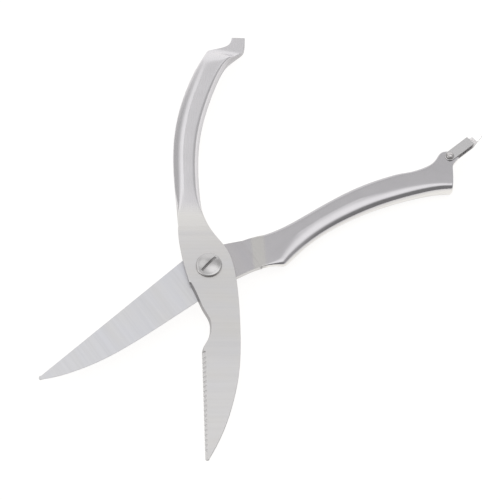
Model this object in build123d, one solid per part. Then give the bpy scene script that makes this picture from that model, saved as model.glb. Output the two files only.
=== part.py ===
from build123d import *
import os
from math import atan2, cos, degrees, hypot, radians, sin, tan

# Kitchen shears, all steel, lying open on a flat surface. Millimetres, +Z up.
# The origin is on the pivot's axis, on the nut's back face. The halves meet at joint_height.
# The front half points along Y as drawn. The rear half is drawn as it lies when the
# shears are shut, along Y too, and is then turned clockwise by the opening angle.

# Driving dimensions
blade_reach = 102.9        # pivot to blade tip
blade_width = 19.3         # front blade across its widest place
blade_thickness = 3.3
handle_reach = 147.8       # pivot to the handles' ends; the handles' shares are of it
handle_width = 13.6        # a handle across its middle
handle_thickness = 9.4
weld_reach = 23.0          # pivot to the welds between blades and handles
open_angle = 54.0          # between the halves as they stand open, in degrees

# Clearances
blade_gap = 0.1            # between the two blades
running_gap = 0.05         # round and under what turns
overrun = 2.0              # by which cutters pass the face that they cut

# Heights. The upper handle is level with the nut's back, and the lower handle's flat top is
# level with its blade's upper face. Both nibs lie in one layer below that face.
joint_height = handle_thickness / 2
front_bottom = joint_height + blade_gap / 2
front_top = front_bottom + blade_thickness
rear_top = joint_height - blade_gap / 2
rear_bottom = rear_top - blade_thickness
front_handle_middle = joint_height
rear_handle_middle = rear_top - handle_thickness / 2

# Blade edges
edge_land = 0.2            # height of the flat left below each ground bevel
edge_bevel = 2.0           # width of the bevel along a cutting edge
notch_bevel = 0.9          # width of the bevel round the bone notch
tip_thickness = 1.7
tooth_pitch = 2.5
tooth_radius = 0.8
tooth_depth = 0.25
tooth_count = 20

# Shanks, where the handles are welded on
front_shank_width = 16.3
front_shank_offset = -8.45
rear_shank_width = 18.45
rear_shank_offset = 6.18
stub_length = 5.0          # flat part of a handle next to its weld

# Handle sections
side_draft = 1.7           # how far the sides stand out at mid-height
weld_draft = 0.05          # the same at the weld, where the sides are upright
front_corner_radii = (3.0, 2.0, 0, 2.5, 2.5, 0)    # clockwise from the left top corner
rear_corner_radii = (2.2, 4.5, 0, 2.5, 2.5, 0)     # the parting line at mid-height is sharp
heel_radius = 1.2          # along the sharp heel's upper edge
swell_length = 13.0        # from the flat stub to the full section
profile_margin = 0.5       # by which the side view passes the bar's own faces
nib_thickness = 3.7
nib_middle = rear_top - nib_thickness / 2
front_ramp_shares = (0.873, 0.927)  # where the bar thins to the nib, on the handle reach
rear_ramp_shares = (0.890, 0.955)

# Pivot
barrel_radius = 3.5
thread_radius = 2.5
nut_radius = 6.0
nut_floor = 1.2            # solid bottom below the thread
nut_chamfer = 0.3
screw_head_radius = 6.75
screw_head_rim = 1.2
screw_head_rise = 1.4
screw_slot_width = 1.25
screw_slot_depth = 0.85
screw_slot_angle = 47.6
screw_end_gap = 0.6

# Spring in its recess
recess_radius = 6.2
recess_depth = 1.3
wire_radius = 0.35
wire_gap = 0.15            # between the spring's ends and the recesses' floors
spring_radius = 4.7
spring_half_turns = 3
spring_leg = 6.0
leg_slot_reach = 6.6
leg_slot_width = 1.1

# Latch
latch_sheet = 0.7
latch_gap = 3.9            # inside, between the plates
latch_width = 5.5
latch_length = 16.2        # rivet to the end wall's outer face
latch_bend = 0.9
latch_rest_angle = 39.6
lip_length = 8.6
lip_angle = 50.0
lip_root = 2.3             # how far the lip's strip laps the back plate
rivet_radius = 1.4
rivet_head_radius = 2.25
rivet_head_rim = 0.2
rivet_head_rise = 1.1
rivet_shares = (0.1468, 0.9851)    # of the handle reach, across and along

# Front blade's outline, as shares of the blade's width and reach, from the weld round the spine
front_spine_shares = [
    (0.249, 0.151), (0.492, 0.087), (0.653, 0.005), (0.756, -0.097), (0.836, -0.270),
    (0.860, -0.420), (0.824, -0.567), (0.680, -0.718), (0.434, -0.866), (0.220, -0.954),
    (0.096, -0.996),
]
front_tip_shares = (0.040, -1.007)
front_edge_end_shares = (-0.014, -0.994)
front_edge_start_shares = (-0.149, -0.466)
notch_shares = [
    (-0.093, -0.425), (0.010, -0.387), (0.049, -0.340), (0.016, -0.299),
    (-0.130, -0.248), (-0.363, -0.151),
]
notch_corner_shares = (-0.513, -0.095)
front_back_shares = [(-0.617, -0.034), (-0.705, 0.029), (-0.777, 0.092), (-0.839, 0.155)]

# Rear blade's outline, on the same two sizes
rear_back_shares = [(-0.360, 0.138), (-0.549, 0.029)]
rear_spine_start_shares = (-0.604, -0.091)
rear_spine_end_shares = (-0.022, -0.992)
rear_tip_shares = (0.020, -1.010)
rear_edge_shares = [
    (0.080, -1.001), (0.226, -0.940), (0.404, -0.835), (0.548, -0.700), (0.615, -0.545),
    (0.632, -0.400),
]
rear_edge_start_shares = (0.636, -0.117)
rear_heel_shares = [(0.645, 0.080), (0.675, 0.121), (0.722, 0.173)]

# Handle stations: shares of the reach along and across, of the width, and of the draft
front_stations_shares = [
    (0.230, -0.0751, 1.000, 0.55), (0.311, -0.0853, 0.971, 0.95), (0.406, -0.0929, 0.996, 1.0),
    (0.507, -0.0934, 1.037, 1.0), (0.609, -0.0819, 1.088, 1.0), (0.710, -0.0587, 1.136, 1.0),
    (0.812, -0.0247, 1.140, 1.0), (0.900, 0.0206, 1.316, 1.0), (1.010, 0.0829, 1.434, 1.0),
]
rear_stations_shares = [
    (0.232, 0.0710, 1.544, 0.35), (0.321, 0.0709, 1.169, 0.65), (0.416, 0.0708, 1.040, 0.75),
    (0.517, 0.0775, 1.055, 0.75), (0.619, 0.0924, 1.128, 0.75), (0.720, 0.1185, 1.188, 0.75),
    (0.822, 0.1542, 1.228, 0.75), (0.910, 0.1873, 1.596, 0.75), (1.045, 0.2000, 2.600, 0.75),
]
rear_stub_side_share = 1.456     # rear loft's first section, of the shank's width

# Front nib's outline, as shares of the handle reach
front_shoulder_shares = [
    (-0.0205, 0.9376), (0.0008, 0.9448), (0.0262, 0.9506), (0.0479, 0.9573), (0.0641, 0.9698),
    (0.0725, 1.0030),
]
front_nib_side_shares = [(0.1218, 1.0030), (0.1218, 0.9606), (0.1191, 0.9335)]
front_nib_throat_shares = [(0.0880, 0.9054), (0.0609, 0.8762), (0.0406, 0.8390)]

# Rear heel's and nib's outlines, as shares of the handle reach
rear_throat_shares = [
    (0.0950, 0.7900), (0.1050, 0.8230), (0.1137, 0.8563), (0.1229, 0.8917), (0.1282, 0.9200),
    (0.1253, 0.9368), (0.1173, 0.9566),
]
rear_nib_shares = [
    (0.1136, 0.9680), (0.1150, 0.9800), (0.1210, 0.9920), (0.1320, 1.0030), (0.1480, 1.0120),
    (0.1620, 1.0150), (0.1710, 1.0070), (0.1750, 0.9922), (0.1786, 0.9794), (0.1825, 0.9702),
]
rear_end_shares = (0.2496, 0.9180)
rear_heel_line_shares = [(0.1164, 0.1840), (0.1414, 0.2260), (0.1664, 0.2666)]
clear_share = 0.45         # how far outside the handles the cutting outlines run


def placed(shares, across, along):
    """Points from shares of a size across and of a size along."""
    return [(x * across, y * along) for x, y in shares]


def domed_head(radius, rim, rise):
    """A turned head with a straight rim and a domed top, standing on z = 0."""
    shoulder = radius / 2
    ball = (radius ** 2 + rise ** 2) / (2 * rise)
    middle = (ball ** 2 - shoulder ** 2) ** (1 / 2) - ball + rise + rim
    with BuildSketch(Plane.XZ) as profile:
        with BuildLine():
            Polyline((0, rim + rise), (0, 0), (radius, 0), (radius, rim))
            ThreePointArc((radius, rim), (shoulder, middle), (0, rim + rise))
        make_face()
    return revolve(profile.sketch, Axis.Z)


def slab(outline, low, high):
    """A flat outline made solid between two heights."""
    return extrude(Pos(0, 0, low) * outline, amount=high - low)


def slanted(outline, low, shift, rise):
    """An outline extruded aslant: its walls lean by shift over the rise."""
    length = (shift[0] ** 2 + shift[1] ** 2 + rise ** 2) ** (1 / 2)
    return extrude(Pos(0, 0, low) * outline, amount=length, dir=(shift[0], shift[1], rise))


rivet_place = placed([rivet_shares], handle_reach, handle_reach)[0]


# Blades

def front_blade_outline():
    """Plan of the upper blade at the height where the blades meet."""
    shank_right = (front_shank_offset + front_shank_width / 2, weld_reach)
    shank_left = (front_shank_offset - front_shank_width / 2, weld_reach)
    spine = placed(front_spine_shares, blade_width, blade_reach)
    tip, edge_end, edge_start, corner = placed(
        [front_tip_shares, front_edge_end_shares, front_edge_start_shares, notch_corner_shares],
        blade_width, blade_reach)
    notch = placed(notch_shares, blade_width, blade_reach)
    back = placed(front_back_shares, blade_width, blade_reach)
    with BuildSketch() as sketch:
        with BuildLine():
            Spline(shank_right, *spine)
            ThreePointArc(spine[-1], tip, edge_end)
            Line(edge_end, edge_start)
            Spline(edge_start, *notch, corner)
            Spline(corner, *back, shank_left)
            Line(shank_left, shank_right)
        make_face()
    return sketch.sketch


def notch_cutter():
    """The space of the bone notch, with a wall that leans back to make its bevel."""
    edge_start, corner = placed([front_edge_start_shares, notch_corner_shares],
                                blade_width, blade_reach)
    notch = placed(notch_shares, blade_width, blade_reach)
    outside = corner[0] - blade_width
    with BuildSketch() as sketch:
        with BuildLine():
            Spline(edge_start, *notch, corner)
            Polyline(corner, (outside, corner[1]), (outside, edge_start[1]), edge_start)
        make_face()
    rise = blade_thickness + overrun
    return slanted(sketch.sketch, front_bottom, (notch_bevel * rise / blade_thickness, 0), rise)


def edge_frame():
    """Start and direction of the serrated edge, and its inward normal, in plan."""
    end, start = placed([front_edge_end_shares, front_edge_start_shares], blade_width, blade_reach)
    length = hypot(end[0] - start[0], end[1] - start[1])
    along = ((end[0] - start[0]) / length, (end[1] - start[1]) / length)
    inward = (-along[1], along[0])
    return start, along, inward, length


def edge_cutter():
    """What the grinding takes off above the serrated edge."""
    start, along, inward, length = edge_frame()
    corners = [(0, 0), (length + overrun, 0), (length + overrun, -blade_width), (0, -blade_width)]
    points = [(start[0] + a * along[0] + b * inward[0], start[1] + a * along[1] + b * inward[1])
              for a, b in corners]
    plan = make_face(Polyline(*points, close=True))
    rise = blade_thickness + overrun
    shift = edge_bevel * rise / (blade_thickness - edge_land)
    return slanted(plan, front_bottom + edge_land, (inward[0] * shift, inward[1] * shift), rise)


def teeth():
    """Round grooves across the bevel, evenly spaced along the edge."""
    start, along, inward, length = edge_frame()
    rise = blade_thickness - edge_land
    slant = hypot(edge_bevel, rise)
    up = (inward[0] * edge_bevel / slant, inward[1] * edge_bevel / slant, rise / slant)
    outward = (-inward[0] * rise / slant, -inward[1] * rise / slant, edge_bevel / slant)
    out = tooth_radius - tooth_depth
    first = (length - tooth_pitch * (tooth_count - 1)) / 2
    grooves = []
    for i in range(tooth_count):
        distance = first + i * tooth_pitch
        middle = (start[0] + distance * along[0] + up[0] * slant / 2 + outward[0] * out,
                  start[1] + distance * along[1] + up[1] * slant / 2 + outward[1] * out,
                  front_bottom + edge_land + up[2] * slant / 2 + outward[2] * out)
        plane = Plane(origin=middle, z_dir=up)
        grooves.append(plane * Cylinder(tooth_radius, slant + 2 * overrun))
    return grooves


def tip_wedge(height, side):
    """The wedge that thins a blade towards its tip, above (side 1) or below (side -1)."""
    taper_start = -blade_reach / 2
    drop = blade_thickness - tip_thickness
    slope = drop / (blade_reach + taper_start)
    far = taper_start - (blade_reach + taper_start) - overrun
    points = [(taper_start, height), (far, height + side * slope * (far - taper_start)),
              (far, height + side * overrun), (taper_start, height + side * overrun)]
    face = make_face(Plane.YZ * Polyline(*points, close=True))
    return extrude(face, amount=2 * blade_width, both=True)


def leg_slot(side, height):
    """A slot out of the spring's recess, for the leg on one side of the pivot."""
    middle = (side * spring_radius, -leg_slot_reach / 2, height)
    return Pos(*middle) * Box(leg_slot_width, leg_slot_reach, recess_depth)


def front_blade():
    """Upper blade: serrated straight edge, bone notch and flat shank."""
    blade = slab(front_blade_outline(), front_bottom, front_top)
    blade -= notch_cutter()
    blade -= edge_cutter()
    blade -= tip_wedge(front_top, 1)
    blade -= teeth()
    middle = front_bottom + blade_thickness / 2
    blade -= Pos(0, 0, middle) * Cylinder(barrel_radius + running_gap, blade_thickness + overrun)
    recess_middle = front_bottom + recess_depth / 2
    blade -= Pos(0, 0, recess_middle) * Cylinder(recess_radius, recess_depth)
    blade -= leg_slot(1, recess_middle)
    return blade


def rear_blade():
    """Lower blade: plain curved edge, bevelled on its hidden side."""
    shank_right = (rear_shank_offset + rear_shank_width / 2, weld_reach)
    shank_left = (rear_shank_offset - rear_shank_width / 2, weld_reach)
    back = placed(rear_back_shares, blade_width, blade_reach)
    spine_start, spine_end, tip, edge_start = placed(
        [rear_spine_start_shares, rear_spine_end_shares, rear_tip_shares, rear_edge_start_shares],
        blade_width, blade_reach)
    edge = placed(rear_edge_shares, blade_width, blade_reach)
    heel = placed(rear_heel_shares, blade_width, blade_reach)
    with BuildSketch() as sketch:
        with BuildLine():
            Spline(shank_left, *back, spine_start)
            Line(spine_start, spine_end)
            ThreePointArc(spine_end, tip, edge[0])
            Spline(*edge, edge_start)
            Spline(edge_start, *heel, shank_right)
            Line(shank_right, shank_left)
        make_face()
    blade = slab(sketch.sketch, rear_bottom, rear_top)
    outside = blade_width + edge_start[0]
    with BuildSketch() as ground:
        with BuildLine():
            Spline(*edge, edge_start)
            Polyline(edge_start, (outside, edge_start[1]), (outside, tip[1] - overrun),
                     (edge[0][0], tip[1] - overrun), edge[0])
        make_face()
    drop = blade_thickness + overrun
    shift = edge_bevel * drop / (blade_thickness - edge_land)
    blade -= slanted(ground.sketch, rear_top - edge_land, (-shift, 0), -drop)
    blade -= tip_wedge(rear_bottom, -1)
    middle = rear_bottom + blade_thickness / 2
    blade -= Pos(0, 0, middle) * Cylinder(barrel_radius, blade_thickness + overrun)
    recess_middle = rear_top - recess_depth / 2
    blade -= Pos(0, 0, recess_middle) * Cylinder(recess_radius, recess_depth)
    blade -= Rot(0, 0, open_angle) * leg_slot(-1, recess_middle)
    return blade


# Handles

def handle_section(along, left, right, draft, middle, radii):
    """One cross-section: six-sided and widest at the parting line, with rounded corners."""
    half = handle_thickness / 2
    points = [(left + draft, half), (right - draft, half), (right, 0),
              (right - draft, -half), (left + draft, -half), (left, 0)]
    plane = Plane(origin=(0, along, middle), x_dir=(1, 0, 0), z_dir=(0, -1, 0))
    return plane * make_face(FilletPolyline(*points, radius=radii, close=True))


def handle_bar(stations, shank_left, shank_right, middle, radii):
    """The forged bar, lofted from the weld past the nib, about its middle height."""
    sections = [handle_section(weld_reach, shank_left, shank_right, weld_draft, middle, radii)]
    for along, centre, width, draft in stations:
        left = centre * handle_reach - width * handle_width / 2
        right = left + width * handle_width
        sections.append(handle_section(along * handle_reach, left, right, draft * side_draft,
                                       middle, radii))
    return loft(sections)


def face_line(stub_height, full_height, nib_height, ramp):
    """One long face of a handle in side view: flat stub, swell, full bar, ramp and nib."""
    swell_start = weld_reach + stub_length
    swell_end = swell_start + swell_length
    ramp_start, ramp_end = (share * handle_reach for share in ramp)
    far = handle_reach + 2 * overrun
    level = ((1, 0), (1, 0))
    return [
        Line((weld_reach - overrun, stub_height), (swell_start, stub_height)),
        Spline((swell_start, stub_height), (swell_end, full_height), tangents=level),
        Line((swell_end, full_height), (ramp_start, full_height)),
        Spline((ramp_start, full_height), (ramp_end, nib_height), tangents=level),
        Line((ramp_end, nib_height), (far, nib_height)),
    ]


def side_profile(top, bottom):
    """The solid between two long faces, across the whole handle."""
    near = Line(bottom[0] @ 0, top[0] @ 0)
    far = Line(bottom[-1] @ 1, top[-1] @ 1)
    outline = Plane.YZ * make_face(top + bottom + [near, far])
    return extrude(outline, amount=handle_reach / 2, both=True)


def front_handle():
    """Handle of the upper half, with a shoulder and a nib that the latch holds."""
    left = front_shank_offset - front_shank_width / 2
    right = front_shank_offset + front_shank_width / 2
    bar = handle_bar(front_stations_shares, left, right, front_handle_middle,
                     front_corner_radii)
    shoulder = placed(front_shoulder_shares, handle_reach, handle_reach)
    nib = placed(front_nib_side_shares, handle_reach, handle_reach)
    throat = placed(front_nib_throat_shares, handle_reach, handle_reach)
    clear = clear_share * handle_reach
    below = weld_reach - overrun
    with BuildSketch() as plan:
        with BuildLine():
            Spline(*shoulder)
            Polyline(shoulder[-1], *nib)
            Spline(nib[-1], *throat)
            Polyline(throat[-1], (clear, throat[-1][1]), (clear, below), (-clear, below),
                     (-clear, shoulder[0][1]), shoulder[0])
        make_face()
    outline = slab(plan.sketch, -overrun, handle_thickness + overrun)
    full_top = front_handle_middle + handle_thickness / 2
    full_bottom = front_handle_middle - handle_thickness / 2
    top = face_line(front_top, full_top + profile_margin, nib_middle + nib_thickness / 2,
                    front_ramp_shares)
    bottom = face_line(front_bottom, full_bottom - profile_margin, nib_middle - nib_thickness / 2,
                       front_ramp_shares)
    return bar & outline & side_profile(top, bottom)


def rear_handle():
    """Handle of the lower half, flat on top, with a sharp heel and the latch's thin nib."""
    left = rear_shank_offset - rear_shank_width / 2
    bar = handle_bar(rear_stations_shares, left, left + rear_shank_width * rear_stub_side_share,
                     rear_handle_middle, rear_corner_radii)
    throat = placed(rear_throat_shares, handle_reach, handle_reach)
    nib = placed(rear_nib_shares, handle_reach, handle_reach)
    end = placed([rear_end_shares], handle_reach, handle_reach)[0]
    heel = placed(rear_heel_line_shares, handle_reach, handle_reach)
    shank = (rear_shank_offset + rear_shank_width / 2, weld_reach)
    clear = clear_share * handle_reach
    below = weld_reach - overrun
    slope = (end[1] - nib[-1][1]) / (end[0] - nib[-1][0])
    past_end = (clear, end[1] + slope * (clear - end[0]))
    heel_slope = (heel[-1][1] - heel[-2][1]) / (heel[-1][0] - heel[-2][0])
    past_heel = (clear, heel[-1][1] + heel_slope * (clear - heel[-1][0]))
    with BuildSketch() as plan:
        with BuildLine():
            Spline(*throat, *nib)
            Polyline(nib[-1], past_end, past_heel, heel[-1])
            Spline(heel[-1], heel[-2], heel[-3], shank)
            Polyline(shank, (shank[0], below), (-clear, below), (-clear, throat[0][1]), throat[0])
        make_face()
    outline = slab(plan.sketch, rear_handle_middle - handle_thickness, rear_top + overrun)
    full_bottom = rear_handle_middle - handle_thickness / 2
    top = [Line((weld_reach - overrun, rear_top + overrun),
                (handle_reach + 2 * overrun, rear_top + overrun))]
    bottom = face_line(rear_bottom, full_bottom - profile_margin, nib_middle - nib_thickness / 2,
                       rear_ramp_shares)
    handle = bar & outline & side_profile(top, bottom)
    upper_edges = handle.edges().group_by(Axis.Z)[-1]
    stub_side = Vertex(shank[0], weld_reach + stub_length / 2, rear_top)
    heel_edge = upper_edges.sort_by_distance(stub_side)[0]
    handle = fillet(heel_edge, heel_radius)
    hole = Cylinder(rivet_radius, handle_thickness)
    return handle - Pos(*rivet_place, nib_middle) * hole


# Pivot

def pivot_nut():
    """Low flange behind the rear blade, with the barrel that both blades turn on."""
    barrel_top = front_top + running_gap
    nut = Pos(0, 0, rear_bottom / 2) * Cylinder(nut_radius, rear_bottom)
    nut = chamfer(nut.faces().sort_by(Axis.Z)[0].edges(), nut_chamfer)
    barrel_height = barrel_top - rear_bottom
    nut += Pos(0, 0, rear_bottom + barrel_height / 2) * Cylinder(barrel_radius, barrel_height)
    thread_depth = barrel_top - nut_floor
    nut -= Pos(0, 0, nut_floor + thread_depth / 2) * Cylinder(thread_radius, thread_depth)
    return nut


def pivot_screw():
    """Slotted screw with a domed head, driven into the barrel."""
    seat = front_top + running_gap
    head = Pos(0, 0, seat) * domed_head(screw_head_radius, screw_head_rim, screw_head_rise)
    shank_end = nut_floor + screw_end_gap
    shank_length = seat - shank_end
    screw = head + Pos(0, 0, shank_end + shank_length / 2) * Cylinder(thread_radius, shank_length)
    top = seat + screw_head_rim + screw_head_rise
    slot = Box(2 * screw_head_radius, screw_slot_width, 2 * screw_slot_depth)
    return screw - Pos(0, 0, top) * Rot(0, 0, screw_slot_angle) * slot


def pivot_spring():
    """Torsion spring round the barrel, in half turns, with a level leg in each blade's slot."""
    low = rear_top - recess_depth + wire_gap + wire_radius
    high = front_bottom + recess_depth - wire_gap - wire_radius
    rise = (high - low) / spring_half_turns
    side = -spring_radius
    height = low
    route = [Line((side, -spring_leg, low), (side, 0, low))]
    for _ in range(spring_half_turns):
        route.append(ThreePointArc((side, 0, height), (0, -side, height + rise / 2),
                                   (-side, 0, height + rise)))
        side = -side
        height += rise
    route.append(Line((side, 0, high), (side, -spring_leg, high)))
    path = Wire([line.edge() for line in route])
    wire = Plane(origin=path @ 0, z_dir=path % 0) * Circle(wire_radius)
    return sweep(wire, path=path)


# Latch

def latch():
    """Strap bent round the nibs, with a thumb lip, along X from the rivet's centre."""
    half_height = latch_gap / 2 + latch_sheet
    half_width = latch_width / 2
    with BuildSketch() as plan:
        with BuildLine():
            Line((0, half_width), (latch_length, half_width))
            Line((latch_length, half_width), (latch_length, -half_width))
            Line((latch_length, -half_width), (0, -half_width))
            ThreePointArc((0, -half_width), (-half_width, 0), (0, half_width))
        make_face()
    strap = extrude(plan.sketch, amount=half_height, both=True)
    outer_bends = strap.edges().filter_by(Axis.Y).group_by(Axis.X)[-1]
    strap = fillet(outer_bends, latch_bend)
    inside_length = latch_length - latch_sheet + latch_width
    inside = Box(inside_length, latch_width + overrun, latch_gap)
    strap -= Pos(latch_length - latch_sheet - inside_length / 2, 0, 0) * inside
    bend = latch_length
    lean = radians(lip_angle)
    tip = (bend + lip_length * cos(lean), -half_height + lip_length * sin(lean))
    mitre = latch_sheet * tan(lean / 2)
    points = [(bend - lip_root, -half_height), (bend, -half_height), tip,
              (tip[0] - latch_sheet * sin(lean), tip[1] + latch_sheet * cos(lean)),
              (bend - mitre, -half_height + latch_sheet),
              (bend - lip_root, -half_height + latch_sheet)]
    lip = extrude(make_face(Plane.XZ * Polyline(*points, close=True)), amount=half_width, both=True)
    strap += lip
    strap -= Cylinder(rivet_radius + running_gap, 2 * half_height + overrun)
    return Pos(0, 0, nib_middle) * strap


def latch_rivet():
    """Rivet through the rear nib, with a dome outside each of the latch's plates."""
    seat = latch_gap / 2 + latch_sheet + running_gap
    head = Pos(0, 0, seat) * domed_head(rivet_head_radius, rivet_head_rim, rivet_head_rise)
    rivet = Cylinder(rivet_radius, 2 * seat) + head + Rot(180, 0, 0) * head
    return Pos(0, 0, nib_middle) * rivet


# Assembly, with the rear half turned open

opened = Rot(0, 0, -open_angle)
at_rivet = opened * Pos(*rivet_place, 0)
rivet_angle = degrees(atan2(rivet_place[1], rivet_place[0])) - open_angle
rivet_distance = hypot(rivet_place[0], rivet_place[1])
rivet_centre = (rivet_distance * cos(radians(rivet_angle)),
                rivet_distance * sin(radians(rivet_angle)))

nodes = {
    "front_blade": front_blade(),
    "front_handle": front_handle(),
    "rear_blade": opened * rear_blade(),
    "rear_handle": opened * rear_handle(),
    "pivot_nut": pivot_nut(),
    "pivot_screw": pivot_screw(),
    "pivot_spring": pivot_spring(),
    "latch": Pos(rivet_centre[0], rivet_centre[1], 0) * Rot(0, 0, latch_rest_angle) * latch(),
    "latch_rivet": at_rivet * latch_rivet(),
}

os.makedirs("parts", exist_ok=True)
for name, solid in nodes.items():
    export_step(solid, "parts/" + name + ".step")
print("latch turns at", rivet_centre)
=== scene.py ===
from math import cos, pi, radians, sin

import bmesh
import bpy
from mathutils import Matrix, Vector


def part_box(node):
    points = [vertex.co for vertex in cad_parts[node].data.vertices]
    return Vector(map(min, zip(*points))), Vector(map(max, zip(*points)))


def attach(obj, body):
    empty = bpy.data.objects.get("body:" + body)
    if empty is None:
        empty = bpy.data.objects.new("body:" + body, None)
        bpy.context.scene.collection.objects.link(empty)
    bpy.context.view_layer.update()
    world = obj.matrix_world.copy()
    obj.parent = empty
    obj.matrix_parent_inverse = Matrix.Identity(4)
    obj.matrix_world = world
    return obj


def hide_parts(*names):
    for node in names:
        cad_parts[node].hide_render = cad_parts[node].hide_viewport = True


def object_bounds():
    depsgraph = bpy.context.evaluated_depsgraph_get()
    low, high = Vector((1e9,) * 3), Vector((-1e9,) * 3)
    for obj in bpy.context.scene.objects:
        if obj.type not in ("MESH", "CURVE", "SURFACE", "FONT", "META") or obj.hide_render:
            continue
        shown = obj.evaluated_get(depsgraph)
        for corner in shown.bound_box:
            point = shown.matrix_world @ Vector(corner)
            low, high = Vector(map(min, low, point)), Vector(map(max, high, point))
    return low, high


# Kitchen shears of stainless steel, lying open on a white table, in metres.
# The front half points along +Y. The rear half is turned clockwise from it by the opening angle.
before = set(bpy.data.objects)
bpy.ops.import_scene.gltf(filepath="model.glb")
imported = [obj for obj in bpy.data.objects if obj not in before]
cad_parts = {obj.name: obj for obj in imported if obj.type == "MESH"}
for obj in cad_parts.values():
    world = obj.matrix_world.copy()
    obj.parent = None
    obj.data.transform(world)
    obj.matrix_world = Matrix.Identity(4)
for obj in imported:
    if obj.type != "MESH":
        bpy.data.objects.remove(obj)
cad_low, cad_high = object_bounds()
mm = 0.001
open_angle = radians(54)


# Studio: the camera stands 27 degrees off the pivot's axis, on the blades' side, at about 63 cm.
# The table is a wide sheet of white card. The room round it is grey, with soft bright patches
# overhead, on the far side and at the sides, and a dark stretch behind the camera.

photo_size = 500
focal_pixels = 1200
sensor_width = 36
aim = Vector((21.3, 8.5, 8.75)) * mm
camera_back = 626 * mm
camera_tilt = radians(27)
camera_data = bpy.data.cameras.new("camera")
camera_data.sensor_width = sensor_width
camera_data.lens = sensor_width * focal_pixels / photo_size
camera = bpy.data.objects.new("camera", camera_data)
bpy.context.scene.collection.objects.link(camera)
camera.location = aim + camera_back * Vector((0, -sin(camera_tilt), cos(camera_tilt)))
camera.rotation_euler = (camera_tilt, 0, 0)
bpy.context.scene.camera = camera
bpy.context.scene.view_settings.view_transform = "Standard"


def node_adder(owner):
    """Empties a material's or a world's node tree, and gives a short way to add linked nodes."""
    owner.use_nodes = True
    tree = owner.node_tree
    tree.nodes.clear()

    def add(kind, inputs=None, **settings):
        node = tree.nodes.new("ShaderNode" + kind)
        for name, value in settings.items():
            setattr(node, name, value)
        for name, value in (inputs or {}).items():
            if isinstance(value, bpy.types.NodeSocket):
                tree.links.new(value, node.inputs[name])
            else:
                node.inputs[name].default_value = value
        return node

    return add


def grey(level):
    """A grey as a colour with its alpha."""
    return (level, level, level, 1)


def new_piece(name, bm):
    """Makes an object of the scene from a bmesh, and frees the bmesh."""
    mesh = bpy.data.meshes.new(name)
    bm.to_mesh(mesh)
    bm.free()
    piece = bpy.data.objects.new(name, mesh)
    bpy.context.scene.collection.objects.link(piece)
    return piece


card_glow = 0.87
card_shaded = 0.24
card_grey = 0.8


def white_card():
    """The table: the camera and the metal see it near white, and it keeps a soft shadow."""
    material = bpy.data.materials.new("white_card")
    add = node_adder(material)
    path = add("LightPath")
    seen = add("Math", {0: path.outputs["Is Camera Ray"], 1: path.outputs["Is Glossy Ray"]},
               operation="MAXIMUM")
    clear = add("Math", {0: seen.outputs[0], 1: path.outputs["Is Transmission Ray"]},
                operation="MAXIMUM")
    glow = add("Emission", {"Color": (1, 0.99, 0.98, 1), "Strength": card_glow})
    shaded = add("BsdfDiffuse", {"Color": grey(card_shaded)})
    near_white = add("AddShader", {0: glow.outputs[0], 1: shaded.outputs[0]})
    card = add("BsdfDiffuse", {"Color": grey(card_grey)})
    surface = add("MixShader", {0: clear.outputs[0], 1: card.outputs[0],
                                2: near_white.outputs[0]})
    add("OutputMaterial", {"Surface": surface.outputs[0]})
    return material


table_reach = 3.0
table_gap = 0.05 * mm
bm = bmesh.new()
bmesh.ops.create_grid(bm, x_segments=1, y_segments=1, size=table_reach,
                      matrix=Matrix.Translation((0, 0, cad_low.z - table_gap)))
table = new_piece("table", bm)
table.data.materials.append(white_card())

# Each patch of the room: its direction, how far its sides are drawn out, the angles of its inner
# and outer edge, and its light
room_grey = 0.5
room_patches = [
    ((0, 0, 1), (1, 1, 1), 0, 60, 0.8),
    ((0, 1, 0.1), (1, 1, 1), 25, 46, 1.02),
    ((0.27, -0.91, 0.32), (1, 1, 1), 36, 52, 0.28),
    ((0.54, 0.82, 0.13), (1, 1, 1), 6, 18, 1.3),
    ((-0.93, -0.32, 0.12), (1, 1, 1), 14, 30, 1.8),
    ((-0.48, 0.46, 0.75), (1, 1, 1), 0, 27, 1.08),
    ((0.25, -0.02, 1), (0.6, 1, 1), 6, 26, 1.35),
]


def light_room():
    """The world: grey walls that a few soft-edged patches brighten or darken."""
    world = bpy.data.worlds.new("room")
    bpy.context.scene.world = world
    add = node_adder(world)
    direction = add("TexCoord").outputs["Generated"]
    light = grey(room_grey)
    for towards, drawn_out, inner, outer, brightness in room_patches:
        shaped = add("VectorMath", {0: direction, 1: drawn_out}, operation="MULTIPLY")
        unit = add("VectorMath", {0: shaped.outputs[0]}, operation="NORMALIZE")
        facing = add("VectorMath", {0: unit.outputs[0], 1: Vector(towards).normalized()},
                     operation="DOT_PRODUCT")
        share = add("MapRange", {"Value": facing.outputs["Value"],
                                 "From Min": cos(radians(outer)),
                                 "From Max": cos(radians(inner))},
                    interpolation_type="SMOOTHSTEP")
        layer = add("MixRGB", {"Fac": share.outputs[0], "Color1": light,
                               "Color2": grey(brightness)})
        light = layer.outputs[0]
    background = add("Background", {"Color": light})
    add("OutputWorld", {"Surface": background.outputs[0]})


light_room()


# Front blade: the serrated upper blade, cut from 3.3 mm stainless sheet with its shank and a
# notch for bones. Its faces are ground across, its edges are broken, and its walls and teeth get
# painted shade. The weld to the handle is ground flush, and shows as paler bands across the shank.

grinding_pitch = 0.11 * mm
grinding_run = 25 * mm
pass_pitch = 1.3 * mm
pass_run = 60 * mm
patch_pitch = 9 * mm
patch_run = 30 * mm
rise_share = 8
weld_wander = 1.5 * mm
wander_scale = 120.0
weld_rough = 0.3
noise_low = 0.3
noise_high = 0.7


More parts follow.
